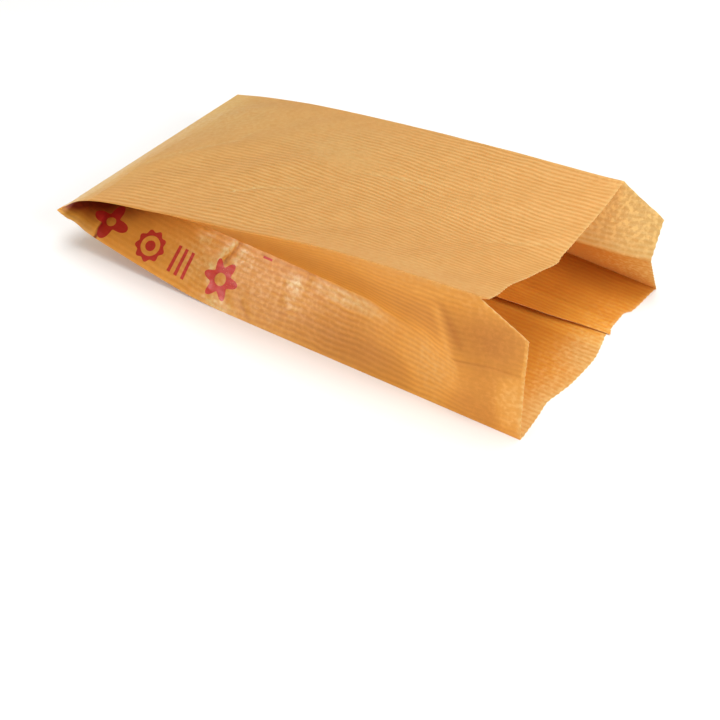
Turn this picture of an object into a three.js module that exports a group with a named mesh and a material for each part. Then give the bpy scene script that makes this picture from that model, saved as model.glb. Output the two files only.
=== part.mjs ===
// An empty bakery bag of brown ribbed kraft paper, lying on its back panel.
// It is one folded sheet: a back panel, a front panel and two gussets that fold inwards at
// a crease half way up. The closed end is a pressed seam that floats a little above the
// surface, and the mouth is open, with the front panel cut shorter than the back.
// Millimetres, +X from the closed end to the mouth, +Y from the near side to the far side.
import * as THREE from 'three';

// Driving dimensions of the flat, unfolded paper
const bagWidth = 120;
const gussetHalf = 30;        // each gusset is two of these, with the crease between
const backLength = 233;       // closed end to the cut of the back panel, along the near fold
const frontLength = 215;      // the front panel is cut shorter, so the mouth opens easily
const cornerNotch = 5;        // the near gusset's cut starts this far behind the front corner
const endSlant = 4;           // the closed end is folded a little out of square
const flapDepth = 18;         // bottom flap, folded over and glued on the back panel
const sealDepth = 5;          // strip along the closed end where all the layers are one
const seamEdge = 70;          // free edge of the lengthwise glue seam, from the near fold
const seamLap = 15;           // overlap of that seam
const wall = 0.5;             // drawn thicker than real paper, so that the wall is sound
const stack = 2.4;            // height of the pressed layers at the closed end
const cutWaver = 2.2;         // how far the back panel's cut wanders
const cutWaves = 2.5;         // and how often, from one side to the other

// How the bag lies: [distance from the closed end along the paper, height or place across]
const closedLift = { near: 20, far: 22 };
const bottomHeight = {
  near: [[0, closedLift.near - stack / 2], [15, 12], [30, 8.7], [55, 4], [75, 0.9], [88, 0]],
  far: [[0, closedLift.far - stack / 2], [15, 15], [30, 11], [55, 5.2], [75, 1.2], [88, 0]],
};
const topHeight = {
  near: [[0, closedLift.near + stack / 2], [13, 27.5], [27, 32], [55, 37.5], [100, 46.7],
    [150, 55.2], [frontLength, 59.5], [backLength, 61]],
  far: [[0, closedLift.far + stack / 2], [13, 25.5], [27, 28.5], [55, 33.5], [100, 39.6],
    [150, 45], [frontLength, 50], [backLength, 51.5]],
};
const bottomAcross = {
  near: [[0, -bagWidth / 2], [backLength, -bagWidth / 2]],
  far: [[0, bagWidth / 2], [160, bagWidth / 2], [backLength, 57]],
};
const topAcross = {
  near: [[0, -bagWidth / 2], [60, -60.5], [110, -62.8], [frontLength, -61], [backLength, -61]],
  far: [[0, bagWidth / 2], [30, 58.6], [frontLength, 51.5], [backLength, 52.5]],
};
const frontSag = [[0, 0], [25, 2], [70, 2], [100, 0], [150, -6.5], [frontLength, -12],
  [backLength, -13]];
const valleyFrom = 120;       // beyond this the sag turns from a round hollow into a valley
const valleyRound = 1.2;      // 1 is a sharp valley, 2 a round one
const nearGussetPop = [[0, 0], [165, 0], [187, 3.5], [200, 6], [frontLength, 2], [backLength, -2]];
const farGussetPop = [[0, 0], [backLength, 0]];

// Mesh density
const ringsAlong = 28;        // rings between the flap's edge and the mouth
const panelStep = 10;
const gussetStep = 7.5;
const endStep = 4.3;          // between rings on the flap
const hairStep = 0.4;         // width of the small steps at the seam's and the flap's edges

// Smooth curve through [at, value] stations, level where the values turn round
function along(stations, at) {
  const last = stations.length - 1;
  if (at <= stations[0][0]) return stations[0][1];
  if (at >= stations[last][0]) return stations[last][1];
  const gap = (k) => stations[k + 1][0] - stations[k][0];
  const slope = (k) => (stations[k + 1][1] - stations[k][1]) / gap(k);
  const tangent = (k) => {
    if (k === 0) return slope(0);
    if (k === last) return slope(last - 1);
    const [before, after] = [slope(k - 1), slope(k)];
    if (before * after <= 0) return 0;
    const [early, late] = [gap(k - 1), gap(k)];
    return 3 * (early + late) / ((2 * late + early) / before + (late + 2 * early) / after);
  };
  let k = 0;
  while (at > stations[k + 1][0]) k += 1;
  const t = (at - stations[k][0]) / gap(k);
  return (2 * t ** 3 - 3 * t ** 2 + 1) * stations[k][1]
    + (t ** 3 - 2 * t ** 2 + t) * gap(k) * tangent(k)
    + (3 * t ** 2 - 2 * t ** 3) * stations[k + 1][1]
    + (t ** 3 - t ** 2) * gap(k) * tangent(k + 1);
}

// A fold line: paper keeps its length, so where the fold climbs or swings it reaches less far
function foldLine(acrossStations, heightStations) {
  const points = [new THREE.Vector3(0, along(acrossStations, 0), along(heightStations, 0))];
  for (let at = 1; at <= backLength + 1; at += 1) {
    const before = points[at - 1];
    const across = along(acrossStations, at);
    const height = along(heightStations, at);
    const forward = Math.sqrt(1 - (across - before.y) ** 2 - (height - before.z) ** 2);
    points.push(new THREE.Vector3(before.x + forward, across, height));
  }
  return (at) => {
    const k = Math.min(Math.floor(at), backLength);
    return points[k].clone().lerp(points[k + 1], at - k);
  };
}

const folds = {};
for (const side of ['near', 'far']) {
  folds[side] = {
    bottom: foldLine(bottomAcross[side], bottomHeight[side]),
    top: foldLine(topAcross[side], topHeight[side]),
  };
}

// The crease of a gusset: both halves keep their width, so it stands in as far as they reach
function crease(side, at) {
  const bottom = folds[side].bottom(at);
  const top = folds[side].top(at);
  const rise = top.clone().sub(bottom).setX(0);
  const apart = rise.length();
  const depth = Math.sqrt(Math.max(gussetHalf ** 2 - (apart / 2) ** 2, 0));
  const pop = along(side === 'near' ? nearGussetPop : farGussetPop, at);
  const inward = side === 'near' ? 1 : -1;
  const direction = new THREE.Vector3(0, rise.z, -rise.y).multiplyScalar(inward / apart);
  return bottom.lerp(top, 0.5).addScaledVector(direction, depth - pop);
}

// Edges between the panels, going round the bag from the near bottom fold
const farBottom = bagWidth;
const farCrease = farBottom + gussetHalf;
const farTop = farCrease + gussetHalf;
const nearTop = farTop + bagWidth;
const nearCrease = nearTop + gussetHalf;
const nearBottom = nearCrease + gussetHalf;

function fractionAcross(round) {
  if (round <= farBottom) return round / bagWidth;
  if (round <= farTop) return 1;
  if (round <= nearTop) return (nearTop - round) / bagWidth;
  return 0;
}

function frontPanel(at, fraction) {
  const point = folds.far.top(at).lerp(folds.near.top(at), fraction);
  const ripe = THREE.MathUtils.clamp((at - valleyFrom) / (frontLength - valleyFrom), 0, 1);
  const hollow = Math.sin(Math.PI * fraction);
  const valley = 1 - Math.abs(2 * fraction - 1) ** valleyRound;
  point.z += along(frontSag, at) * THREE.MathUtils.lerp(hollow, valley, ripe);
  return point;
}

// Place of a point of the paper, from its distance round the bag and from the closed end
function place(round, distance) {
  const slant = endSlant * fractionAcross(round);
  const at = Math.max(distance - slant, 0);
  let point;
  if (round <= farBottom) {
    point = folds.near.bottom(at).lerp(folds.far.bottom(at), round / bagWidth);
  } else if (round <= farCrease) {
    point = folds.far.bottom(at).lerp(crease('far', at), (round - farBottom) / gussetHalf);
  } else if (round <= farTop) {
    point = crease('far', at).lerp(folds.far.top(at), (round - farCrease) / gussetHalf);
  } else if (round <= nearTop) {
    point = frontPanel(at, (round - farTop) / bagWidth);
  } else if (round <= nearCrease) {
    point = folds.near.top(at).lerp(crease('near', at), (round - nearTop) / gussetHalf);
  } else {
    point = crease('near', at).lerp(folds.near.bottom(at), (round - nearCrease) / gussetHalf);
  }
  point.x += slant;
  return point;
}

// Where the paper is cut at the mouth
function mouthCut(round) {
  const upperMiddle = gussetHalf / 2;
  if (round <= farBottom) {
    const across = Math.PI * round / bagWidth;
    return backLength - cutWaver * Math.sin(cutWaves * across) ** 2 * Math.sin(across);
  }
  if (round <= farCrease + upperMiddle) return backLength;
  if (round <= farTop) {
    return THREE.MathUtils.mapLinear(round, farCrease + upperMiddle, farTop, backLength, frontLength);
  }
  if (round <= nearTop) return frontLength;
  const start = frontLength - cornerNotch;
  const rise = (round - nearTop - hairStep) / (upperMiddle - hairStep);
  return THREE.MathUtils.lerp(start, backLength, THREE.MathUtils.clamp(rise, 0, 1));
}

// Points round the bag: the folds, even steps between them, and the seam's two edges
function stepsBetween(from, to, step) {
  const count = Math.round((to - from) / step);
  return Array.from({ length: count }, (_, k) => from + (to - from) * k / count);
}
const seamEnd = seamEdge + seamLap;
const roundPoints = [
  ...stepsBetween(0, seamEdge - hairStep, panelStep), seamEdge - hairStep,
  ...stepsBetween(seamEdge, seamEnd, panelStep), seamEnd,
  ...stepsBetween(seamEnd + hairStep, farBottom, panelStep),
  ...stepsBetween(farBottom, farCrease, gussetStep),
  ...stepsBetween(farCrease, farTop, gussetStep),
  ...stepsBetween(farTop, nearTop, panelStep), nearTop,
  ...stepsBetween(nearTop + hairStep, nearCrease, gussetStep),
  ...stepsBetween(nearCrease, nearBottom, gussetStep),
];
const onSeam = (round) => round >= seamEdge && round <= seamEnd;
const onFlap = (round) => round > 0 && round < farBottom;

// Rings from the closed end to the mouth. Each is a list of places, one for each round point.
const endRings = [0, ...stepsBetween(sealDepth, flapDepth, endStep), flapDepth,
  flapDepth + hairStep];
const ringCount = endRings.length + ringsAlong;
function ringDistance(round, ring) {
  const start = endSlant * fractionAcross(round);
  if (ring < endRings.length) return start + endRings[ring];
  const share = (ring - endRings.length + 1) / ringsAlong;
  return THREE.MathUtils.lerp(start + endRings.at(-1), mouthCut(round), share);
}
const rings = Array.from({ length: ringCount }, (_, ring) => (
  roundPoints.map((round) => place(round, ringDistance(round, ring)))
));

// At the closed end the gussets are pressed flat, so that ring is only front, back and sides
function pressedRing(ring, halfWidth) {
  const at = endRings[ring];
  return rings[ring].map((point, k) => {
    const round = roundPoints[k];
    const across = THREE.MathUtils.lerp(-halfWidth, halfWidth, fractionAcross(round));
    const pressed = new THREE.Vector3(point.x, across, point.z);
    const onFarSide = round > farBottom && round < farTop;
    if (onFarSide || round > nearTop) {
      const { bottom, top } = onFarSide ? folds.far : folds.near;
      const climb = onFarSide ? round - farBottom : nearBottom - round;
      pressed.z = THREE.MathUtils.lerp(bottom(at).z, top(at).z, climb / (2 * gussetHalf));
    }
    return pressed;
  });
}

// Moves a ring's points off the paper's middle, outwards or, for the inner face, inwards.
// At a fold the point in the angle goes to where both faces meet, and the other stays blunt.
const deepestFold = 6;
const bluntFold = 1.3;
const hairpin = 0.01;         // keeps a fold that turns right back from dividing by nothing
function offsetRing(ring, offsets) {
  const count = ring.length;
  return ring.map((point, k) => {
    const before = ring[(k + count - 1) % count];
    const after = ring[(k + 1) % count];
    const into = new THREE.Vector2(point.y - before.y, point.z - before.z).normalize();
    const away = new THREE.Vector2(after.y - point.y, after.z - point.z).normalize();
    const normalIn = new THREE.Vector2(into.y, -into.x);
    const normalOut = new THREE.Vector2(away.y, -away.x);
    const middle = normalIn.clone().add(normalOut).normalize();
    const spread = 1 / Math.max(middle.dot(normalIn), hairpin);
    const inTheAngle = into.cross(away) * offsets[k] < 0;
    const limit = inTheAngle ? deepestFold / Math.abs(offsets[k]) : bluntFold;
    const reach = offsets[k] * Math.min(spread, limit);
    return new THREE.Vector3(point.x, point.y + middle.x * reach, point.z + middle.y * reach);
  });
}

// One layer of paper lies around the middle; the flap and the seam each add a second layer
const oneLayer = wall / 2;
const twoLayers = wall * 1.5;
const outerOffsets = (ring) => roundPoints.map((round) => (
  ring < endRings.length - 1 && onFlap(round) ? twoLayers : oneLayer
));
const innerOffsets = roundPoints.map((round) => (onSeam(round) ? -twoLayers : -oneLayer));
const hollowStart = bagWidth / 2 - gussetHalf - deepestFold;
const outerRings = rings.map((ring, k) => (
  offsetRing(k === 0 ? pressedRing(0, bagWidth / 2) : ring, outerOffsets(k))
));
const innerRings = rings.slice(1).map((ring, k) => (
  offsetRing(k === 0 ? pressedRing(1, hollowStart) : ring, innerOffsets)
));

// One closed body: outer face, inner face, the rim at the mouth and the two end caps
function bagGeometry() {
  const count = roundPoints.length;
  const allRings = [...outerRings, ...innerRings];
  const positions = allRings.flat().flatMap((point) => point.toArray());
  const faces = [];
  const quad = (a, b, c, d) => faces.push(a, b, c, a, c, d);
  const band = (ringA, ringB, flip) => {
    for (let k = 0; k < count; k += 1) {
      const next = (k + 1) % count;
      const [a, b] = [ringA * count + k, ringA * count + next];
      const [c, d] = [ringB * count + next, ringB * count + k];
      if (flip) quad(a, d, c, b); else quad(a, b, c, d);
    }
  };
  const outerLast = outerRings.length - 1;
  const innerFirst = outerRings.length;
  for (let ring = 0; ring < outerLast; ring += 1) band(ring, ring + 1, false);
  for (let ring = innerFirst; ring < allRings.length - 1; ring += 1) band(ring, ring + 1, true);
  band(outerLast, allRings.length - 1, false);
  // A cap fills a pressed ring: a fan to each side, and a zip of triangles from back to front
  const cap = (ring, flip) => {
    const triangle = (a, b, c) => {
      faces.push(...(flip ? [a, c, b] : [a, b, c]).map((corner) => ring * count + corner));
    };
    const [backEnd, frontStart] = [farBottom, farTop].map((round) => roundPoints.indexOf(round));
    const frontEnd = roundPoints.indexOf(nearTop);
    for (let k = backEnd; k < frontStart; k += 1) triangle(backEnd - 1, k, k + 1);
    for (let k = frontEnd; k < count; k += 1) triangle(1, k, (k + 1) % count);
    const across = (k) => allRings[ring][k].y;
    let [low, high] = [1, frontEnd];
    while (low < backEnd - 1 || high > frontStart) {
      const lowNext = low < backEnd - 1 ? across(low + 1) : Infinity;
      const highNext = high > frontStart ? across(high - 1) : Infinity;
      if (lowNext < highNext) {
        triangle(low, low + 1, high);
        low += 1;
      } else {
        triangle(low, high - 1, high);
        high -= 1;
      }
    }
  };
  cap(0, true);
  cap(innerFirst, false);
  const geometry = new THREE.BufferGeometry();
  geometry.setAttribute('position', new THREE.Float32BufferAttribute(positions, 3));
  geometry.setIndex(faces);
  geometry.computeVertexNormals();
  return geometry;
}

const geometry = bagGeometry();
geometry.computeBoundingBox();
const box = geometry.boundingBox;
geometry.translate(-(box.min.x + box.max.x) / 2, -(box.min.y + box.max.y) / 2, -box.min.z);

const kraft = new THREE.MeshStandardMaterial({ color: 0xdda562, roughness: 0.62, metalness: 0 });
const paperBag = new THREE.Mesh(geometry, kraft);
paperBag.name = 'paper_bag';

const part = new THREE.Group();
part.add(paperBag);
export default part;
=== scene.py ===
# An empty bakery bag of ribbed kraft paper, lying on its back panel with the mouth open.
import math

import bpy
import numpy as np
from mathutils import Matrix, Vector, noise


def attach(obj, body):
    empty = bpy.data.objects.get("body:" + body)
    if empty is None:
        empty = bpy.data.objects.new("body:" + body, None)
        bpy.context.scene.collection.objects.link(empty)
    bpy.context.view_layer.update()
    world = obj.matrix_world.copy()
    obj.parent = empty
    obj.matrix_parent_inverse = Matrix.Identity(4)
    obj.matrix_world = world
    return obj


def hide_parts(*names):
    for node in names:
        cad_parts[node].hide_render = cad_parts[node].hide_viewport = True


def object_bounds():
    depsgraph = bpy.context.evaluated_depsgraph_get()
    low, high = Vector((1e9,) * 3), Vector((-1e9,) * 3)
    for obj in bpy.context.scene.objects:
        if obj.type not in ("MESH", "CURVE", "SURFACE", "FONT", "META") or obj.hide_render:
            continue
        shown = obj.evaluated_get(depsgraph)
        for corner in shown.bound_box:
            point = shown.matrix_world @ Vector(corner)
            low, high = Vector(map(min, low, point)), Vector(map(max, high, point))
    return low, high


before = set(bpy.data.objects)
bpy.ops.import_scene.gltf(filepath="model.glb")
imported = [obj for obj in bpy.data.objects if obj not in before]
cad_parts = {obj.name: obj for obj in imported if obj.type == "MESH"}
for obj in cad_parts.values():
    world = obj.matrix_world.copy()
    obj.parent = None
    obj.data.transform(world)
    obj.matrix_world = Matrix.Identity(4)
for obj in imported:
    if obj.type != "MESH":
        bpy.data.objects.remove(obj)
cadLow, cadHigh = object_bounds()
mm = 0.001
print("frame loaded: the bag's plain solid")


def deselectAll():
    for thing in bpy.context.selected_objects:
        thing.select_set(False)


def linearColor(hexCode):       # an sRGB hex value as the linear colour that Blender works in
    channels = [int(hexCode[k:k + 2], 16) / 255 for k in (0, 2, 4)]
    linear = [c / 12.92 if c <= 0.04045 else ((c + 0.055) / 1.055) ** 2.4 for c in channels]
    return (*linear, 1.0)


def newMaterial(name):
    material = bpy.data.materials.new(name)
    material.use_nodes = True
    material.node_tree.nodes.clear()
    return material


# Adds a node with its settings and with what goes into its sockets. A node that goes into one
# stands for the first output that it has in use
def addNode(material, kind, inputs=None, **settings):
    node = material.node_tree.nodes.new("ShaderNode" + kind)
    for name, value in settings.items():
        setattr(node, name, value)
    for socket, value in (inputs or {}).items():
        if isinstance(value, bpy.types.Node):
            value = next(output for output in value.outputs if output.enabled)
        if isinstance(value, bpy.types.NodeSocket):
            material.node_tree.links.new(value, node.inputs[socket])
        else:
            node.inputs[socket].default_value = value
    return node


# The camera at the photo's angle, large soft lights and a plain pale floor, in metres
photoView = {
    "azimuth": 33.87,           # degrees round from the near side
    "elevation": 39.47,
    "distance": 526.44 * mm,
    "target": (51.04 * mm, -73.18 * mm, 20.25 * mm),
    "lens": 69.44,
    "clipStart": 0.01,
}
softBoxes = {                   # where each stands, how wide it is, and its watts
    "overheadBox": {"at": (0.05, 0.05, 0.95), "size": 0.8, "power": 6.6},
    "leftBox": {"at": (-0.68, -0.64, 0.22), "size": 0.4, "power": 6.2},
    "mouthBox": {"at": (0.85, -0.15, 0.45), "size": 0.5, "power": 5.6},
    "backBox": {"at": (0.35, 0.80, 0.12), "size": 0.4, "power": 1.8},
}
studio = {"worldLight": 0.28, "floorColor": "F4F3F1", "floorRoughness": 0.9, "floorSize": 6.0}
white = linearColor("FFFFFF")


def addCamera(view):
    around = math.radians(view["azimuth"])
    above = math.radians(view["elevation"])
    back = Vector((
        math.sin(around) * math.cos(above),
        -math.cos(around) * math.cos(above),
        math.sin(above),
    ))
    bpy.ops.object.camera_add(location=Vector(view["target"]) + back * view["distance"])
    camera = bpy.context.object
    camera.name = "photoCamera"
    camera.rotation_mode = "QUATERNION"
    camera.rotation_quaternion = back.to_track_quat("Z", "Y")
    camera.data.lens = view["lens"]
    camera.data.clip_start = view["clipStart"]
    bpy.context.scene.camera = camera


def addSoftBox(name, box):      # a round light that faces the bag
    bpy.ops.object.light_add(type="AREA", location=box["at"])
    light = bpy.context.object
    light.name = name
    light.rotation_mode = "QUATERNION"
    light.rotation_quaternion = Vector(box["at"]).to_track_quat("Z", "Y")
    light.data.shape = "DISK"
    light.data.size = box["size"]
    light.data.energy = box["power"]


def addWorld():
    world = bpy.data.worlds.new("paleStudio")
    world.use_nodes = True
    background = world.node_tree.nodes["Background"]
    background.inputs["Color"].default_value = white
    background.inputs["Strength"].default_value = studio["worldLight"]
    bpy.context.scene.world = world


def mattStudioPaint():          # plain and pale, so that only the bag catches the eye
    material = newMaterial("mattStudioPaint")
    surface = addNode(material, "BsdfPrincipled", {
        "Base Color": linearColor(studio["floorColor"]),
        "Roughness": studio["floorRoughness"],
    })
    addNode(material, "OutputMaterial", {"Surface": surface})
    return material


addCamera(photoView)
for boxName, softBox in softBoxes.items():
    addSoftBox(boxName, softBox)
addWorld()
bpy.context.scene.view_settings.view_transform = "Standard"
deselectAll()
bpy.ops.mesh.primitive_plane_add(size=studio["floorSize"], location=(0, 0, 0))
floor = bpy.context.object
floor.name = "studioFloor"
floor.data.materials.append(mattStudioPaint())
print("camera, lights and floor ready")

# How the paper is folded, in millimetres as in the part's source
paper = {
    "panelWidth": 120,
    "gussetHalf": 30,
    "length": 233,              # along the back panel, closed end to mouth
    "frontLength": 215,
    "pastLength": 4.0,          # no edge of the mouth reaches further past the length
    "endSlant": 4,              # the closed end is folded a little out of square
    "flapDepth": 18,            # turned under at the closed end and glued to the back
    "flapNotch": 11,            # the flap stops short of the near corner, which sticks out past it
    "seamLap": 15,
    "seamEdge": 70,             # free inner edge of the lengthwise glue seam, at the closed end
    "lapClimb": 5,              # the panel climbs on to its lap over this width
    "thickness": 0.16,          # real kraft is about 0.06: a little more keeps its edge in sight
    "layerGap": 0.24,           # from one glued layer's middle to the next
    "endStack": 0.6,            # the pressed layers at the closed end
    "floorGap": 0.03,           # the back panel stays at least this far off the floor
    "solidWall": 0.5,           # the plain solid's wall, half of it outside the folds
}
panelWidth, gussetHalf = paper["panelWidth"], paper["gussetHalf"]
# Places round the bag in millimetres, starting at the near bottom fold
farBottom = panelWidth
farCrease = farBottom + gussetHalf
farTop = farCrease + gussetHalf
nearTop = farTop + panelWidth
nearCrease = nearTop + gussetHalf
nearBottom = nearCrease + gussetHalf
foldPlaces = [0, farBottom, farCrease, farTop, nearTop, nearCrease, nearBottom, nearBottom + panelWidth]
halfStack = paper["endStack"] / 2

# How the bag lies: each fold's height or place across at distances from the closed end
lie = {
    "bottomHeight": {
        "near": [[0, 20 - halfStack], [15, 12], [30, 8.7], [55, 4], [75, 0.9], [88, 0]],
        "far": [[0, 22 - halfStack], [15, 15], [30, 11], [55, 5.2], [75, 1.2], [88, 0]],
    },
    "topHeight": {
        "near": [[0, 20 + halfStack], [13, 27.5], [27, 32], [55, 37.5], [100, 46.7],
                 [150, 55.2], [215, 59.5], [233, 61]],
        "far": [[0, 22 + halfStack], [13, 25.5], [27, 28.5], [55, 33.5], [100, 39.6],
                [150, 45], [215, 50], [233, 51.5]],
    },
    "bottomAcross": {
        "near": [[0, -60], [233, -60]],
        "far": [[0, 60], [160, 60], [233, 56]],
    },
    "topAcross": {
        "near": [[0, -60], [60, -60.5], [110, -62.8], [215, -61], [233, -61]],
        "far": [[0, 60], [30, 58.6], [215, 51.5], [233, 52.5]],
    },
    "creaseDrop": {
        "near": [[0, 0], [205, 0], [233, -1.3]],
        "far": [[0, 0], [175, 0.3], [200, 1.0], [233, 2.2]],
    },
    "creaseSlack": 40,          # how softly a gusset's depth ends where its halves are pulled flat
    "gussetBulge": {            # how far the crease stands out of its folded place
        "near": [[0, 0], [158, 0], [172, 2.8], [187, 5.2], [204, 9.8], [217, 5.2], [233, 2.8]],
        "far": [[0, 0], [150, 0], [233, 4.4]],
    },
    "bulgeSkew": 0.2,           # the near bulge starts further along below the crease
    "bulgeRound": 0.8,          # its corners are rounded over this much either way
    "frontSag": [[0, 0], [25, 2], [70, 2], [100, 0], [150, -6.5], [215, -12], [233, -13]],
    "valleyFrom": 120,          # from here to the mouth the sag turns from an arch into a valley
    "valleyRound": 1.2,         # 1 is a sharp valley, 2 a round one
}
# Where each panel is cut at the mouth: [round the bag, distance from the closed end]
mouthCut = {
    "back": [[0, 232.5], [10, 232], [18, 231.4], [25, 230.7], [33, 232], [42, 233.4], [59, 234.1],
             [72, 232.2], [79, 230.8], [96, 230.8], [98.3, 232.8], [119, 234.6], [120, 234.8]],
    "farGusset": [[120, 235], [150, 234.6], [168.5, 235], [180, 214.2]],
    "front": [[180, 214.2], [195, 215.1], [235, 215.1], [242, 216.2], [256, 215.3],
              [277, 215.3], [293, 217.1], [300, 217.5]],
    "nearGusset": [[300, 212.7], [313.8, 234], [330, 233], [360, 232.3]],
}


def along(stations, at):        # smooth curve through the stations, level where they turn round
    places, values = np.array(stations, float).T
    gaps = np.diff(places)
    slopes = np.diff(values) / gaps
    tangents = np.concatenate([slopes[:1], np.zeros(len(slopes) - 1), slopes[-1:]])
    for k in range(1, len(slopes)):
        before, after = slopes[k - 1], slopes[k]
        if before * after > 0:
            early, late = gaps[k - 1], gaps[k]
            share = (2 * late + early) / before + (late + 2 * early) / after
            tangents[k] = 3 * (early + late) / share
    k = np.clip(np.searchsorted(places, at, side="right") - 1, 0, len(gaps) - 1)
    t = np.clip((at - places[k]) / gaps[k], 0, 1)
    return ((2 * t ** 3 - 3 * t ** 2 + 1) * values[k]
            + (t ** 3 - 2 * t ** 2 + t) * gaps[k] * tangents[k]
            + (3 * t ** 2 - 2 * t ** 3) * values[k + 1]
            + (t ** 3 - t ** 2) * gaps[k] * tangents[k + 1])


def straight(stations, at):     # straight from station to station
    places, values = np.array(stations, float).T
    return np.interp(at, places, values)


def smoothStep(low, high, value):
    t = np.clip((value - low) / (high - low), 0, 1)
    return t * t * (3 - 2 * t)


# A fold line: paper keeps its length, so where the fold climbs or swings it reaches less far
def foldLine(acrossStations, heightStations, at):
    steps = np.arange(0, paper["length"] + paper["pastLength"])
    across = along(acrossStations, steps)
    height = along(heightStations, steps)
    forward = np.sqrt(1 - np.diff(across) ** 2 - np.diff(height) ** 2)
    reach = np.concatenate([[0], np.cumsum(forward)])
    return np.stack([np.interp(at, steps, line) for line in (reach, across, height)], axis=-1)


def foldsAt(side, at):          # bottom fold, crease and top fold of one gusset
    bottom = foldLine(lie["bottomAcross"][side], lie["bottomHeight"][side], at)
    top = foldLine(lie["topAcross"][side], lie["topHeight"][side], at)
    rise = top - bottom
    rise[..., 0] = 0
    apart = np.linalg.norm(rise, axis=-1)
    # Both halves keep their width, so the crease stands in as far as they reach
    slack = gussetHalf ** 2 - (apart / 2) ** 2
    depth = np.sqrt((slack + np.hypot(slack, lie["creaseSlack"])) / 2)
    inward = 1 if side == "near" else -1
    crease = (bottom + top) / 2
    crease[..., 1] += inward * depth * rise[..., 2] / apart
    crease[..., 2] -= inward * depth * rise[..., 1] / apart
    crease[..., 2] -= along(lie["creaseDrop"][side], at)
    return bottom, crease, top


def fractionAcross(around):     # 0 at the near side of the bag, 1 at the far side
    inward = gussetHalf / panelWidth
    return np.interp(around, foldPlaces, [0, 1, 1 - inward, 1, 0, inward, 0, 1])


def cutAt(around):
    onBack = np.where(around > nearBottom, around - nearBottom, around)
    back = along(mouthCut["back"], onBack)
    return np.select(
        [around <= farBottom, around <= farTop, around <= nearTop, around <= nearBottom],
        [back, straight(mouthCut["farGusset"], around), along(mouthCut["front"], around),
         straight(mouthCut["nearGusset"], around)],
        back,
    )


def gussetBulge(side, around, at):
    creasePlace = nearCrease if side == "near" else farCrease
    near = np.clip(1 - np.abs(around - creasePlace) / gussetHalf, 0, 1)
    skewed = at - lie["bulgeSkew"] * (around - creasePlace) * (side == "near")
    shifts = [-lie["bulgeRound"], 0, lie["bulgeRound"]]
    rounded = [straight(lie["gussetBulge"][side], skewed + shift) for shift in shifts]
    return near * np.mean(rounded, axis=0)


# Places of points of the paper, from how far round the bag and how far along it they are
def placeOnBag(around, distance):
    share = fractionAcross(around)
    at = np.maximum(distance - paper["endSlant"] * share, 0)
    near, far = foldsAt("near", at), foldsAt("far", at)
    lines = [near[0], far[0], far[1], far[2], near[2], near[1], near[0], far[0]]
    point = np.zeros((*around.shape, 3))
    for k in range(len(foldPlaces) - 1):
        width = foldPlaces[k + 1] - foldPlaces[k]
        part = ((around - foldPlaces[k]) / width)[..., None]
        between = lines[k] + (lines[k + 1] - lines[k]) * part
        point = np.where((part >= 0) & (part <= 1), between, point)
    onFront = (around >= farTop) & (around <= nearTop)
    arch = np.sin(np.pi * share)
    valley = 1 - np.abs(2 * share - 1) ** lie["valleyRound"]
    turned = np.clip((at - lie["valleyFrom"]) / (paper["frontLength"] - lie["valleyFrom"]), 0, 1)
    sag = along(lie["frontSag"], at) * (arch + (valley - arch) * turned)
    point[..., 2] += np.where(onFront, sag, 0)
    point[..., 0] += paper["endSlant"] * share
    point[..., 1] -= gussetBulge("near", around, at)
    point[..., 1] += gussetBulge("far", around, at)
    return point


# The bag is one sheet, folded up from its flat blank, in millimetres
sheet = {
    "columnStep": {"back": 1.5, "gusset": 1.5, "front": 1.2, "nearGusset": 1.0},
    "flapRows": 10,
    "turnRows": 5,              # rows round the closed end's fold
    "earRows": [0, 0.5, 1.1, 1.9, 2.9, 4.1, 5.5, 6.6, 7.8, 9],  # close where the corner's ear bends
    "endRows": (10.2, 24, 1.15),
    "rowsAlong": 128,           # rows from there to the mouth
    "toothDepth": 0.14,         # the cut at the mouth is finely toothed
    "mapMargin": 20,            # room for the flap on the map of the blank
    "smoothAngle": 35,          # degrees: a sharper fold keeps its edge
}
# The paper isn't smooth: waves, crumples and ripples have a height, a size round and along, and a seed
relief = {
    "wave": {"height": 0.8, "size": (34, 22), "seed": 3.1},
    "waveSlant": 0.5,           # waves run askew over the panels
    "waveBeside": 0.25,         # share of their height that the other panels have
    "crumple": {"height": 0.35, "size": (5, 8), "seed": 7.7},
    "crumpleAlong": [(50, 75), (130, 165)],     # where crumples come and go on the near gusset
    "ripple": {"height": 0.10, "size": (9, 11), "seed": 1.3},
    # So near a fold or the closed end the paper lies calm
    "calm": {"frontFolds": 14, "gussetFolds": 6, "closedEnd": 12, "bottomFold": 5},
    "lapRaise": [[0, 0.4], [60, 1.2], [140, 3.3], [182, 3.3], [204, 3.5], [219, 2.9], [236, 0.8]],
    "lapCurl": 1.6,             # 1 raises the seam's free edge straight, more curls it up late
    "lapEdge": [[0, 69.5], [182, 69.5], [204, 72.2], [219, 76.1], [231, 78.3], [236, 79]],
}
# The near bottom corner sticks out past the front's fold: from where to where it grows to its full
# reach, round the bag and along it, and the small step in it
ear = {
    "reach": 3.0,
    "towards": (-1, -0.3, -0.45),
    "round": (11, 1),
    "along": (11, 0),
    "step": (7, 5.5),
    "stepShare": 0.25,
}
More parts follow.
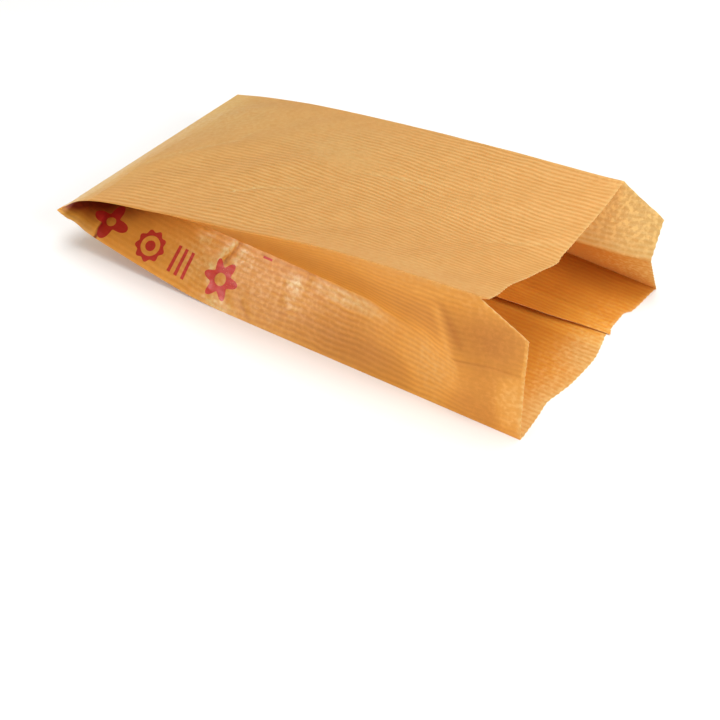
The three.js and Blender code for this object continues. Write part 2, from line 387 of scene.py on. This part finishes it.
# Creases: where they start and end, how high they stand, how wide they are, and how they are painted:
# above 0 rubbed pale with a painted highlight, below 0 a painted shade line
creases = [
    {"from": (331, 84.5), "to": (336, 81), "height": 0.35, "width": 2.4, "wearAndPaintedLight": 1.0},
    {"from": (336, 81), "to": (345, 76.5), "height": 0.4, "width": 4.0, "wearAndPaintedLight": 0.8},
    {"from": (331, 87.5), "to": (340, 83), "height": -0.4, "width": 3.2, "wearAndPaintedLight": -0.3},
    {"from": (340, 83), "to": (350, 80.5), "height": -0.35, "width": 2.2, "wearAndPaintedLight": -0.16},
    {"from": (331, 91), "to": (341, 87.5), "height": 0.25, "width": 4.2, "wearAndPaintedLight": 0.35},
    {"from": (350, 80.5), "to": (359, 80.5), "height": -0.5, "width": 1.4, "wearAndPaintedLight": -0.2},
    {"from": (337, 64), "to": (333, 72), "height": 0.4, "width": 1.6, "wearAndPaintedLight": 0.3},
    {"from": (349, 77), "to": (359, 84), "height": 0.4, "width": 1.6, "wearAndPaintedLight": 0.45},
    {"from": (352, 88), "to": (359, 93), "height": -0.4, "width": 1.4, "wearAndPaintedLight": -0.12},
    {"from": (353, 97), "to": (359, 104), "height": -0.4, "width": 1.5, "wearAndPaintedLight": -0.12},
    {"from": (308, 198), "to": (325, 207), "height": -0.12, "width": 3.2, "wearAndPaintedLight": -0.1},
    {"from": (313, 196), "to": (337, 204), "height": 0.0, "width": 5.0, "wearAndPaintedLight": 0.14},
    {"from": (331, 128), "to": (335, 126), "height": -0.6, "width": 1.4, "wearAndPaintedLight": -0.15},
    {"from": (338, 117), "to": (345, 119), "height": 0.4, "width": 1.2, "wearAndPaintedLight": 0.2},
    {"from": (330.8, 204), "to": (330.8, 233), "height": -0.3, "width": 0.9, "wearAndPaintedLight": -0.1},
    {"from": (349, 17.5), "to": (360, 19.5), "height": -0.9, "width": 1.5, "wearAndPaintedLight": -1.0},
    {"from": (272, 16), "to": (263, 20), "height": 0.3, "width": 1.2, "wearAndPaintedLight": 0.1},
    {"from": (263, 20), "to": (231, 46), "height": 0.16, "width": 2.2, "wearAndPaintedLight": 0.3},
    {"from": (231, 46), "to": (216, 48.5), "height": 0.12, "width": 2.0, "wearAndPaintedLight": 0.25},
    {"from": (300, 20), "to": (262, 19), "height": -0.35, "width": 0.9, "wearAndPaintedLight": -0.12},
    {"from": (262, 19), "to": (187, 16), "height": -0.2, "width": 0.9, "wearAndPaintedLight": -0.05},
    {"from": (273, 79), "to": (265, 88), "height": 0.25, "width": 1.1, "wearAndPaintedLight": 0.8},
    {"from": (265, 88), "to": (255, 105), "height": 0.3, "width": 1.4, "wearAndPaintedLight": 0.5},
    {"from": (229, 117), "to": (220, 144), "height": 0.25, "width": 1.4, "wearAndPaintedLight": 0.5},
    {"from": (245, 186), "to": (228, 214), "height": 0.3, "width": 2.0, "wearAndPaintedLight": 0.25},
]


def evenSteps(start, end, step):
    return np.linspace(start, end, round((end - start) / step), endpoint=False)


lapStart = paper["seamEdge"]
lapEnd = lapStart + paper["seamLap"]
lapClimbed = lapEnd + paper["lapClimb"]
blankEnd = nearBottom + lapEnd
columnPlaces = np.concatenate([
    evenSteps(lapStart, farBottom, sheet["columnStep"]["back"]),
    evenSteps(farBottom, farTop, sheet["columnStep"]["gusset"]),
    evenSteps(farTop, nearTop, sheet["columnStep"]["front"]),
    evenSteps(nearTop, nearBottom, sheet["columnStep"]["nearGusset"]),
    evenSteps(nearBottom, blankEnd, sheet["columnStep"]["back"]),
    [blankEnd],
])
turnRadius = (paper["endStack"] + paper["layerGap"]) / 2
turnLength = math.pi * turnRadius
flapEnd = turnLength + paper["flapDepth"]
underRows = np.concatenate([
    np.linspace(-flapEnd, -turnLength, sheet["flapRows"], endpoint=False),
    np.linspace(-turnLength, 0, sheet["turnRows"], endpoint=False),
])
endRows = np.concatenate([underRows, sheet["earRows"], np.arange(*sheet["endRows"])])
mapSize = {
    "round": blankEnd - lapStart,
    "along": sheet["mapMargin"] + paper["length"] + paper["pastLength"],
}


def blankPlaces():              # how far round and how far along each vertex of the blank lies
    slant = paper["endSlant"] * fractionAcross(columnPlaces)
    tooth = sheet["toothDepth"] * (np.arange(len(columnPlaces)) % 2 * 2 - 1)
    reach = cutAt(columnPlaces) + tooth - slant - endRows[-1]
    share = np.arange(1, sheet["rowsAlong"] + 1) / sheet["rowsAlong"]
    distance = np.concatenate([
        slant + endRows[:, None],
        slant + endRows[-1] + reach * share[:, None],
    ])
    around = np.tile(columnPlaces, (len(distance), 1))
    # The seam's free edge runs a little askew towards the mouth
    lapShare = np.clip((lapClimbed - around) / (lapClimbed - lapStart), 0, 1)
    around = around + lapShare * (along(relief["lapEdge"], distance) - lapStart)
    return around, distance


def creaseDistance(crease, around, distance):
    start, end = np.array(crease["from"]), np.array(crease["to"])
    run = end - start
    share = ((around - start[0]) * run[0] + (distance - start[1]) * run[1]) / (run @ run)
    part = np.clip(share, 0, 1)
    gap = np.hypot(around - start[0] - part * run[0], distance - start[1] - part * run[1])
    return gap / crease["width"]


def bumps(kind, around, distance):
    size, seed = relief[kind]["size"], relief[kind]["seed"]
    field = np.empty(around.shape)
    for index in np.ndindex(around.shape):
        place = Vector((around[index] / size[0], distance[index] / size[1], seed))
        field[index] = noise.noise(place)
    return relief[kind]["height"] * field


def reliefAt(around, distance):
    around = np.where(around > nearBottom, around - nearBottom, around)
    calm, beside = relief["calm"], relief["waveBeside"]
    onFront = smoothStep(farTop, farTop + calm["frontFolds"], around)
    onFront *= 1 - smoothStep(nearTop - calm["frontFolds"], nearTop, around)
    onLower = smoothStep(nearCrease, nearCrease + calm["gussetFolds"], around)
    onLower *= 1 - smoothStep(nearBottom - calm["gussetFolds"], nearBottom, around)
    slanted = distance + relief["waveSlant"] * around
    rise = bumps("wave", around, slanted) * (beside + (1 - beside) * onFront)
    comes, goes = relief["crumpleAlong"]
    busy = smoothStep(*comes, distance) * (1 - smoothStep(*goes, distance)) * onLower
    rise += busy * bumps("crumple", around, distance)
    rise += bumps("ripple", around, distance)
    for crease in creases:
        rise += crease["height"] * np.exp(-creaseDistance(crease, around, distance) ** 2)
    return rise


def unitNormals(points):
    normals = np.cross(np.gradient(points, axis=1), np.gradient(points, axis=0))
    return normals / np.maximum(np.linalg.norm(normals, axis=-1, keepdims=True), 1e-9)


def earShift(fromCorner, distance):
    gentle = (1 - ear["stepShare"]) * smoothStep(*ear["along"], distance)
    step = ear["stepShare"] * smoothStep(*ear["step"], distance)
    shift = ear["reach"] * smoothStep(*ear["round"], fromCorner) * (gentle + step)
    return shift[..., None] * np.array(ear["towards"])


def foldBlank(around, distance):
    points = placeOnBag(around, distance)
    fromFold = np.abs(around - nearBottom)
    smooth = reliefAt(around, distance) * smoothStep(0, relief["calm"]["closedEnd"], distance)
    smooth *= smoothStep(0, relief["calm"]["bottomFold"], fromFold)
    points -= unitNormals(points) * smooth[..., None]
    # Inside the bag the far part of the back panel laps over the near part
    onLap = around < farBottom
    over = np.clip((lapClimbed - around) / paper["lapClimb"], 0, 1) * onLap
    free = np.clip((lapEnd - around) / paper["seamLap"], 0, 1) * onLap
    points[..., 2] += paper["layerGap"] * over
    points[..., 2] += along(relief["lapRaise"], distance) * free ** relief["lapCurl"]
    points[..., 2] = np.maximum(points[..., 2], paper["floorGap"] + paper["layerGap"] * onLap)
    points += earShift(np.minimum(fromFold, around), distance)
    # The front panel goes round the pressed end and back under it
    turned = underRows.size
    slant = paper["endSlant"] * fractionAcross(around)
    below = placeOnBag(nearTop - around, np.maximum(-distance - turnLength, 0) + 2 * slant)
    for row, at in enumerate(underRows):
        points[row] = below[row]
        if at > -turnLength:
            angle = -at / turnRadius
            points[row, :, 0] = points[turned, :, 0] - turnRadius * math.sin(angle)
            points[row, :, 1] = points[turned, :, 1]
            points[row, :, 2] = points[turned, :, 2] - turnRadius * (1 - math.cos(angle))
        else:
            points[row, :, 2] -= paper["layerGap"]
    return points


# Patches where the paper looks different: the place round and along, half its size, how strongly
patches = {
    # Rubbed pale wear, and painted sheen and highlights where the glazed outside catches the light
    "pale": [
        ((336, 93), (5, 6.5), 0.2), ((336.7, 121.5), (2.6, 4.8), 0.75), ((343, 122), (6, 2.4), 0.25),
        ((333.6, 150), (3.2, 19), 0.5), ((336, 69), (3, 6), 0.35), ((346, 68), (7, 9), 0.2),
        ((358, 87), (2.2, 8), 0.6), ((345, 192), (16, 10), 0.18), ((285, 6), (34, 12), 0.3),
        ((215, 20), (45, 26), 0.22), ((222, 98), (11, 19), 0.15), ((205, 62), (22, 60), 0.14),
        ((300, 180), (15, 55), 0.15), ((346, 229), (12, 8), 0.2), ((359, 8), (4, 11), 0.3),
        ((285, 181), (13, 20), 0.05),
    ],
    # Painted shade: the pockets at the closed end, the band under the front's edge, the near gusset's
    # facets turned from the light, and the shadow beside the far bottom fold inside
    "paintedShade": [
        ((341, 2), (14.5, 14), 1.1), ((349, 0.5), (7.5, 5), 0.9), ((338, 17), (11, 12), 0.5),
        ((336, 28), (9, 14), 0.2), ((348, 152), (14, 20), 0.07), ((335, 44), (5, 20), 0.08),
        ((314, 130), (15, 100), 0.13), ((316, 212), (15, 26), 0.09), ((335, 220), (30, 14.5), 0.10),
        ((353, 160), (8, 60), 0.11), ((112, 205), (10, 22), 0.14),
    ],
    "ribless": [
        ((222, 98), (12, 20), 0.8), ((296, 175), (9, 50), 0.8), ((345, 30), (18, 45), 0.7),
        ((345, 222), (18, 19), 0.85), ((345, 90), (18, 24), 0.4), ((168, 225), (14, 40), 0.6),
        ((315, 222), (17, 19), 0.75),
    ],
    # Painted light: the inside is paler where light comes in at the mouth
    "paintedMouthLight": [((18, 234), (32, 12), 0.6), ((62, 232), (13, 12), 0.5), ((135, 232), (14, 12), 0.3)],
    "mottled": [
        ((168, 225), (15, 30), 1.0), ((136, 226), (13, 18), 0.6), ((45, 227), (50, 11), 0.35),
        ((346, 222), (16, 18), 0.2), ((345, 108), (17, 58), 0.28), ((315, 222), (15, 18), 0.3),
    ],
}
# How far each change in the paper's looks spreads, in millimetres, and the least that there is of it
looks = {
    "creaseShine": 2.2,         # the painted pale or dark line on a crease is this many times narrower than the crease
    "cutRim": {"width": 0.8, "wearAndPaintedLight": 0.4},      # the freshly cut edge is furred and pale
    "lapShade": 4,              # beside the glued lap, which lets less light through
    "endShade": (4, 8),         # the same after the closed end, and past the flap
    "ribEdge": [[180, 112], [227, 52], [273, 22], [300, 14]],   # ribs fade out towards the closed end
    "ribFade": (14, 22),        # before and after that line
    "frontFarEdge": (4, 2),     # the front's paler pulp, painted as lit, before and after its folds
    "frontNearEdge": (1, 0.6),
    "farGussetEdge": (1, 1),    # the paler upper half of the far gusset's inside, painted as glowing with the light behind it
    "leastRibs": 0.06,
    "leastMottle": 0.06,
}


def patchSum(name, around, distance):
    total = np.zeros(around.shape)
    for place, half, strength in patches[name]:
        gap = np.hypot((around - place[0]) / half[0], (distance - place[1]) / half[1])
        total += strength * np.exp(-gap ** 3)
    return total


def edgeStep(place, spread, around):    # from 0 before the place to 1 after it
    return smoothStep(place - spread[0], place + spread[1], around)


def looksAt(around, distance):  # values that the materials read at every point of the sheet
    around = np.where(around > nearBottom, around - nearBottom, around)
    # Pale wear and painted sheen add to this value, and painted shade takes away from it
    wearAndPaintedLight = patchSum("pale", around, distance) - patchSum("paintedShade", around, distance)
    for crease in creases:
        narrow = np.exp(-(looks["creaseShine"] * creaseDistance(crease, around, distance)) ** 2)
        wearAndPaintedLight += crease["wearAndPaintedLight"] * narrow
    fromCut = (cutAt(around) - distance) / looks["cutRim"]["width"]
    wearAndPaintedLight += looks["cutRim"]["wearAndPaintedLight"] * np.exp(-fromCut ** 2)
    lap = edgeStep(lapStart, (looks["lapShade"], 0), around)
    lap *= 1 - edgeStep(lapEnd, (0, looks["lapShade"]), around)
    end = 1 - smoothStep(looks["endShade"][0], paper["flapDepth"] + looks["endShade"][1], distance)
    onFront = (around > farTop) & (around < nearTop)
    ribEdge = straight(looks["ribEdge"], around)
    ribs = np.where(onFront, edgeStep(ribEdge, looks["ribFade"], distance), 1)
    front = edgeStep(farTop, looks["frontFarEdge"], around)
    front *= 1 - edgeStep(nearTop, looks["frontNearEdge"], around)
    farGusset = edgeStep(farCrease, looks["farGussetEdge"], around) * (around <= farTop)
    return {
        "wearAndPaintedLight": wearAndPaintedLight,
        "layers": np.maximum(lap * (around < farBottom), end),
        "ribs": np.clip(ribs - patchSum("ribless", around, distance), looks["leastRibs"], 1),
        "mottle": np.clip(looks["leastMottle"] + patchSum("mottled", around, distance), 0, 1),
        # Painted light and shade: 0 on the front, painted as lit, and 1 on the gussets and back, painted
        # as shaded
        "paintedShadeShare": 1 - front,
        # Inside, 0 is the painted glow of the far gusset's backlit upper half and the painted light at
        # the mouth
        "insidePaintedShadeShare": np.clip(1 - patchSum("paintedMouthLight", around, distance) - farGusset, 0, 1),
    }


def addPointValues(mesh, name, values):
    attribute = mesh.attributes.new(name, "FLOAT", "POINT")
    attribute.data.foreach_set("value", values.astype(np.float32).ravel())


def selectFaces(mesh, chosen):  # leaves the mesh in edit mode with only these faces selected
    bpy.ops.object.mode_set(mode="EDIT")
    bpy.ops.mesh.select_mode(type="FACE")
    bpy.ops.mesh.select_all(action="DESELECT")
    bpy.ops.object.mode_set(mode="OBJECT")
    mesh.polygons.foreach_set("select", chosen)
    bpy.ops.object.mode_set(mode="EDIT")


def makeSheet():
    around, distance = blankPlaces()
    rows, columns = around.shape
    bpy.ops.mesh.primitive_grid_add(x_subdivisions=columns - 1, y_subdivisions=rows - 1, size=1)
    bag = bpy.context.object
    bag.name = "ribbedKraftBag"
    mesh = bag.data
    flat = np.zeros(len(mesh.vertices) * 3, np.float32)
    mesh.vertices.foreach_get("co", flat)
    grid = flat.reshape(-1, 3)
    column = np.rint((grid[:, 0] + 0.5) * (columns - 1)).astype(int)
    row = np.rint((grid[:, 1] + 0.5) * (rows - 1)).astype(int)
    # The folds stand where the solid's are, with the paper's underside on the floor
    middleLine = cadHigh.y - (panelWidth / 2 + paper["solidWall"] / 2) * mm
    points = foldBlank(around, distance) * mm
    points += np.array([cadLow.x, middleLine, paper["thickness"] / 2 * mm])
    mesh.vertices.foreach_set("co", points[row, column].astype(np.float32).ravel())
    for name, values in looksAt(around, distance).items():
        addPointValues(mesh, name, values[row, column])
    # The map is the flat blank, so that ribs and print follow the paper
    corner = np.zeros(len(mesh.loops), np.int32)
    mesh.loops.foreach_get("vertex_index", corner)
    flatPlace = np.stack([
        (around[row[corner], column[corner]] - lapStart) / mapSize["round"],
        (distance[row[corner], column[corner]] + sheet["mapMargin"]) / mapSize["along"],
    ], axis=-1)
    mesh.uv_layers[0].data.foreach_set("uv", flatPlace.astype(np.float32).ravel())
    # Only the front panel has a flap: the other panels end at the pressed end
    faces = corner.reshape(-1, 4)
    low, middle = row[faces].min(axis=1), columnPlaces[column[faces]].mean(axis=1)
    offFlap = (middle < farTop) | (middle > nearTop - paper["flapNotch"])
    selectFaces(mesh, (low < underRows.size) & offFlap)
    bpy.ops.mesh.delete(type="FACE")
    bpy.ops.object.mode_set(mode="OBJECT")
    return bag


def thickenSheet(bag):
    wall = bag.modifiers.new("wall", "SOLIDIFY")
    wall.thickness = paper["thickness"] * mm
    wall.offset = 0
    wall.material_offset = 1
    wall.material_offset_rim = 2
    bpy.ops.object.modifier_apply(modifier="wall")
    bpy.ops.object.shade_smooth_by_angle(angle=math.radians(sheet["smoothAngle"]))


# One kind of paper in three finishes. Each has the light and the dark of its pulp as painted where it is
# lit, both again as painted in shade, the point value that says where that painted shade is, and its
# roughness as made and where it's rubbed
finishes = {
    "machineGlazedRibbedKraft": {       # outside: satin from the hot glazing cylinder, painted paler on the lit front and deeper on the shaded gussets
        "pulp": ("F2CE84", "D3A250"),
        "paintedShadedPulp": ("F2B84C", "D4932C"),
        "paintedShadeShare": "paintedShadeShare",
        "roughness": (0.50, 0.34),
        "printed": True,
    },
    "uncoatedRibbedKraft": {            # inside: matt, so that light spreads in the bag; painted pale where it glows with light from behind, deep where it lies in shade
        "pulp": ("F8E6A6", "E8C266"),
        "paintedShadedPulp": ("FCBC44", "F09A2A"),
        "paintedShadeShare": "insidePaintedShadeShare",
        "roughness": (0.75, 0.62),
        "printed": False,
    },
    "cutKraftEdge": {                   # the cut edge: bare pale fibres
        "pulp": ("F0D0A0", "DDB070"),
        "paintedShadedPulp": ("F0D0A0", "DDB070"),
        "paintedShadeShare": "paintedShadeShare",
        "roughness": (0.8, 0.7),
        "printed": False,
    },
}
kraft = {
    "ribPitch": 2.45,           # millimetres: about four ribs to a centimetre
    "ribSway": 3.0,             # they wander this far off their line
    "ribFadeRange": (0.36, 0.58),
    "ribShow": (0.72, 1.0),     # how strong they are where they fade and where they don't
    "patterns": {               # millimetres from one to the next, and how far it is broken up
        "sway": (20, 2.0),
        "ribFade": (25, 2.0),
        "cloud": (10 / 1.3, 4.0),
        "formation": (10 / 4.6, 5.0),
        "crinkle": (10 / 2.8, 3.0),
        "grain": (10 / 24, 3.0),
    },
    # Real fibres are about 0.03 mm wide, too fine to show: they are drawn as coarse as it takes
    "fibre": {"width": 10 / 16, "length": 10 / 2.2, "detail": 5.0},
    # How much each pattern lightens the pulp
    "toneShare": {"cloud": 0.34, "rib": 0.225, "fibre": 0.42, "grain": 0.32, "fleck": 0.25},
    "toneBase": 0.22,
    "toneRange": (0.42, 1.06),
    "fleckRange": (0.46, 0.61), # where in the pulp's formation a fleck starts and is full
    "rubRange": (0.38, 0.62),   # rubbed wear and painted sheen show less between the flecks and more on them
    "rubShare": (0.35, 1.35),
    "fullyRubbed": 0.5,         # paler than this, it shines as much as it can
    "palePulp": 0.75,           # how pale the flecks are
    # the pale of rubbed wear, of flecks and of painted sheen
    "wearAndSheenPale": "F0DC98",
    "paintedShadeTint": "C48150",       # painted shade: the reddish colour of shaded folds, which light reaches through the paper
    "ribHeight": 0.05,
    "bumpStrength": 0.7,
    "fibreHeight": 0.4,         # as a share of the ribs' height
    "crinkleHeight": 14.0,      # in the same measure, where the paper is mottled
    "through": "FBDEAC",        # light on its way through one face of the paper
    "throughShare": 0.7,
    "lightThrough": 0.46,
    "layerThrough": 0.65,       # as much of it comes through glued layers
    "thinness": (0.3, 0.95),    # flecks are thin places, and let more light through than the rest
}
redPrint = {
    "ink": "C00D1C",
    "fadedInk": "DC3436",
    "strength": 0.92,
    "softEdge": 0.12,
    "fadeAlong": (30.0, 80.0),  # where the ink turns paler, from the closed end
    "bareAlong": (30.0, 90.0),  # and where more specks of it are missing
    "bareLevel": (0.20, 0.34),
    "speck": {"size": 10 / 15, "detail": 4.0},
    "flowers": [                # a place round and along, the size, and the outline's lobes
        {"at": (349.5, 21), "size": 9.4, "lobes": 4, "depth": 0.55, "hole": 0.24},
        {"at": (350, 44.5), "size": 7.6, "lobes": 9, "depth": 0.16, "hole": 0.62},
        {"at": (350, 44.5), "size": 2.5, "lobes": 4, "depth": 0.0, "hole": 0.0},
        {"at": (348, 84), "size": 9.2, "lobes": 6, "depth": 0.42, "hole": 0.30},
    ],
    "bars": {"at": (349.5, 62), "half": (6.2, 5.0), "pitch": 3.8, "width": 1.7},
    "dash": {"at": (332, 104), "half": (0.5, 2.6)},
}


def edgeMask(material, value, edge):    # 1 where the value is below the edge, softly
    soft = redPrint["softEdge"]
    return addNode(material, "MapRange", {0: value, 1: edge - soft, 2: edge + soft, 3: 1.0, 4: 0.0})


def boxMask(material, offset, half):
    size = addNode(material, "VectorMath", {0: offset}, operation="ABSOLUTE")
    sides = addNode(material, "SeparateXYZ", {0: size})
    masks = [edgeMask(material, sides.outputs[axis], half[axis]) for axis in (0, 1)]
    return addNode(material, "Math", {0: masks[0], 1: masks[1]}, operation="MULTIPLY")


def flowerMask(material, place, flower):
    offset = addNode(material, "VectorMath", {0: place, 1: (*flower["at"], 0)}, operation="SUBTRACT")
    split = addNode(material, "SeparateXYZ", {0: offset})
    angle = addNode(material, "Math", {0: split.outputs[0], 1: split.outputs[1]}, operation="ARCTAN2")
    turns = addNode(material, "Math", {0: angle, 1: flower["lobes"]}, operation="MULTIPLY")
    lobe = addNode(material, "Math", {0: turns}, operation="COSINE")
    swing = flower["depth"] * flower["size"] / 2
    limit = addNode(material, "Math", {0: lobe, 1: swing, 2: flower["size"] - swing},
                    operation="MULTIPLY_ADD")
    radius = addNode(material, "VectorMath", {0: offset}, operation="LENGTH")
    past = addNode(material, "Math", {0: radius, 1: limit}, operation="SUBTRACT")
    filled = edgeMask(material, past, 0.0)
    hole = edgeMask(material, radius, flower["hole"] * flower["size"])
    return addNode(material, "Math", {0: filled, 1: hole}, operation="SUBTRACT", use_clamp=True)


def printMask(material, place):
    masks = [flowerMask(material, place, flower) for flower in redPrint["flowers"]]
    bars, dash = redPrint["bars"], redPrint["dash"]
    offset = addNode(material, "VectorMath", {0: place, 1: (*bars["at"], 0)}, operation="SUBTRACT")
    field = boxMask(material, offset, bars["half"])
    split = addNode(material, "SeparateXYZ", {0: offset})
    wrapped = addNode(material, "Math", {0: split.outputs[1], 1: bars["pitch"] / 2}, operation="PINGPONG")
    bar = edgeMask(material, wrapped, bars["width"] / 2)
    masks.append(addNode(material, "Math", {0: field, 1: bar}, operation="MULTIPLY"))
    offset = addNode(material, "VectorMath", {0: place, 1: (*dash["at"], 0)}, operation="SUBTRACT")
    masks.append(boxMask(material, offset, dash["half"]))
    whole = masks[0]
    for mask in masks[1:]:
        whole = addNode(material, "Math", {0: whole, 1: mask}, operation="MAXIMUM")
    return whole


# How much red ink lies where, and its colour: it pales away from the closed end and misses specks
def printedInk(material, place, distance):
    bareFrom, bareTo = redPrint["bareAlong"]
    few, many = redPrint["bareLevel"]
    bare = addNode(material, "MapRange", {0: distance, 1: bareFrom, 2: bareTo, 3: few, 4: many})
    speckle = addNode(material, "TexNoise", {
        "Vector": place, "Scale": 1 / redPrint["speck"]["size"], "Detail": redPrint["speck"]["detail"],
    })
    covered = addNode(material, "Math", {0: speckle, 1: bare}, operation="GREATER_THAN")
    mask = printMask(material, place)
    ink = addNode(material, "Math", {0: mask, 1: covered}, operation="MULTIPLY")
    share = addNode(material, "Math", {0: ink, 1: redPrint["strength"]}, operation="MULTIPLY")
    fadeFrom, fadeTo = redPrint["fadeAlong"]
    fading = addNode(material, "MapRange", {0: distance, 1: fadeFrom, 2: fadeTo})
    inks = {6: linearColor(redPrint["ink"]), 7: linearColor(redPrint["fadedInk"])}
    return share, addNode(material, "Mix", {0: fading, **inks}, data_type="RGBA")


# Ribs run lengthwise, fibres lie along them, and clouds and flecks show how the pulp settled. In a
# Mix node's sockets 0 is the share, and 6 and 7 are the colours
def kraftPaper(name):
    finish, fibres = finishes[name], kraft["fibre"]
    material = newMaterial(name)
    point = {value: addNode(material, "Attribute", attribute_name=value).outputs["Fac"]
             for value in ("wearAndPaintedLight", "layers", "ribs", "mottle", finish["paintedShadeShare"])}
    uv = addNode(material, "UVMap", uv_map="UVMap")
    place = addNode(material, "Mapping", {      # millimetres round and along the bag
        "Vector": uv,
        "Location": (lapStart, -sheet["mapMargin"], 0),
        "Scale": (mapSize["round"], mapSize["along"], 1),
    })
    split = addNode(material, "SeparateXYZ", {0: place})
    stretched = addNode(material, "Mapping", {
        "Vector": place, "Scale": (1 / fibres["width"], 1 / fibres["length"], 1),
    })
    fibre = addNode(material, "TexNoise", {
        "Vector": stretched, "Scale": 1.0, "Detail": fibres["detail"],
    })
    settled = {}
    for kind, (spacing, detail) in kraft["patterns"].items():
        settled[kind] = addNode(material, "TexNoise", {
            "Vector": place, "Scale": 1 / spacing, "Detail": detail,
        })
    phase = addNode(material, "Math", {0: settled["sway"], 1: kraft["ribSway"], 2: split.outputs[0]},
                    operation="MULTIPLY_ADD")
    turn = addNode(material, "Math", {0: phase, 1: 2 * math.pi / kraft["ribPitch"]}, operation="MULTIPLY")
    rib = addNode(material, "Math", {0: turn}, operation="SINE")
    ribShow = addNode(material, "MapRange", {
        0: settled["ribFade"], 1: kraft["ribFadeRange"][0], 2: kraft["ribFadeRange"][1],
        3: kraft["ribShow"][0], 4: kraft["ribShow"][1],
    })
    ribStrength = addNode(material, "Math", {0: ribShow, 1: point["ribs"]}, operation="MULTIPLY")
    ribPart = addNode(material, "Math", {0: rib, 1: ribStrength}, operation="MULTIPLY")
    fleckStart, fleckFull = kraft["fleckRange"]
    fleck = addNode(material, "MapRange", {0: settled["formation"], 1: fleckStart, 2: fleckFull})
    flecked = addNode(material, "Math", {0: fleck, 1: point["mottle"]}, operation="MULTIPLY")
    # The ribs' stripes in the tone are partly the pulp's own and partly painted shade of their relief
    tone = kraft["toneBase"]
    parts = {"cloud": settled["cloud"], "rib": ribPart, "fibre": fibre, "grain": settled["grain"],
             "fleck": flecked}
    for kind, part in parts.items():
        tone = addNode(material, "Math", {0: part, 1: kraft["toneShare"][kind], 2: tone},
                       operation="MULTIPLY_ADD")
    darkest, lightest = kraft["toneRange"]
    shade = addNode(material, "MapRange", {0: tone, 1: darkest, 2: lightest})
    paintedShadeShare = point[finish["paintedShadeShare"]]
    # The pulp as painted where it is lit and as painted where it is shaded, mixed by the painted shade
    # share
    light, dark = [
        addNode(material, "Mix", {0: paintedShadeShare, 6: linearColor(pulp), 7: linearColor(paintedShadedPulp)},
                data_type="RGBA")
        for pulp, paintedShadedPulp in zip(finish["pulp"], finish["paintedShadedPulp"])
    ]
    color = addNode(material, "Mix", {0: shade, 6: dark, 7: light}, data_type="RGBA")
    # Rubbed creases and edges are pale, and flecks a little, and painted sheen and highlights are mixed
    # in with the same pale
    paleShareByFormation = addNode(material, "MapRange", {
        0: settled["formation"], 1: kraft["rubRange"][0], 2: kraft["rubRange"][1],
        3: kraft["rubShare"][0], 4: kraft["rubShare"][1],
    })
    pale = addNode(material, "Math", {0: flecked, 1: kraft["palePulp"]}, operation="MULTIPLY")
    pale = addNode(material, "Math", {0: point["wearAndPaintedLight"], 1: paleShareByFormation, 2: pale}, operation="MULTIPLY_ADD",
                   use_clamp=True)
    wearAndSheenPaleColor = linearColor(kraft["wearAndSheenPale"])
    color = addNode(material, "Mix", {0: pale, 6: color, 7: wearAndSheenPaleColor}, data_type="RGBA")
    # Painted shade: values under 0 darken the colour towards the reddish tint of shaded folds and pockets
    paintedShade = addNode(material, "MapRange", {0: point["wearAndPaintedLight"], 1: -1.0, 2: 0.0})
    paintedShadeColor = addNode(material, "Mix", {0: paintedShade, 6: linearColor(kraft["paintedShadeTint"]), 7: white},
                   data_type="RGBA")
    paintedShadeTint = addNode(material, "VectorMath", {0: paintedShadeColor, 1: paintedShadeColor}, operation="MULTIPLY")
    color = addNode(material, "VectorMath", {0: color, 1: paintedShadeTint}, operation="MULTIPLY")
    if finish["printed"]:
        inkShare, inkColor = printedInk(material, place, split.outputs[1])
        color = addNode(material, "Mix", {0: inkShare, 6: color, 7: inkColor}, data_type="RGBA")
    crinkled = addNode(material, "Math", {0: settled["crinkle"], 1: point["mottle"]},
                       operation="MULTIPLY")
    height = ribPart
    for part, share in ((fibre, kraft["fibreHeight"]), (crinkled, kraft["crinkleHeight"])):
        height = addNode(material, "Math", {0: part, 1: share, 2: height}, operation="MULTIPLY_ADD")
    bump = addNode(material, "Bump", {
        "Height": height,
        "Distance": kraft["ribHeight"] * mm,
        "Strength": kraft["bumpStrength"],
    })
    asMade, whereRubbed = finish["roughness"]
    gloss = addNode(material, "MapRange", {
        0: pale, 1: 0.0, 2: kraft["fullyRubbed"], 3: asMade, 4: whereRubbed,
    })
    # Paper's IOR is close to the shader's own, 1.5, and it has no metal
    surface = addNode(material, "BsdfPrincipled", {
        "Base Color": color,
        "Roughness": gloss,
        "Normal": bump,
    })
    # How the pulp settled shows most where light comes through
    flecksAdd, plain = kraft["thinness"]
    thinness = addNode(material, "Math", {0: flecked, 1: flecksAdd, 2: plain}, operation="MULTIPLY_ADD")
    throughColor = addNode(material, "Mix", {
        0: kraft["throughShare"], 6: color, 7: linearColor(kraft["through"]),
    }, data_type="RGBA")
    # Painted shade and the ink dim the light that comes through as well
    dimmers = [thinness, paintedShadeTint]
    if finish["printed"]:
        dimmers.append(addNode(material, "Mix", {0: inkShare, 6: white, 7: inkColor}, data_type="RGBA"))
    for dimmer in dimmers:
        throughColor = addNode(material, "VectorMath", {0: throughColor, 1: dimmer}, operation="MULTIPLY")
    through = addNode(material, "BsdfTranslucent", {"Color": throughColor, "Normal": bump})
    clear = addNode(material, "MapRange", {
        0: point["layers"], 3: kraft["lightThrough"], 4: kraft["lightThrough"] * kraft["layerThrough"],
    })
    both = addNode(material, "MixShader", {0: clear, 1: surface, 2: through})
    addNode(material, "OutputMaterial", {"Surface": both})
    return material


deselectAll()
bagSheet = makeSheet()
print("blank folded:", len(bagSheet.data.polygons), "faces")
for finishName in finishes:
    bagSheet.data.materials.append(kraftPaper(finishName))
print("kraft paper and print ready")
thickenSheet(bagSheet)
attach(bagSheet, "root")
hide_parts("paper_bag")
print("bag folded from one sheet:", len(bagSheet.data.polygons), "faces")
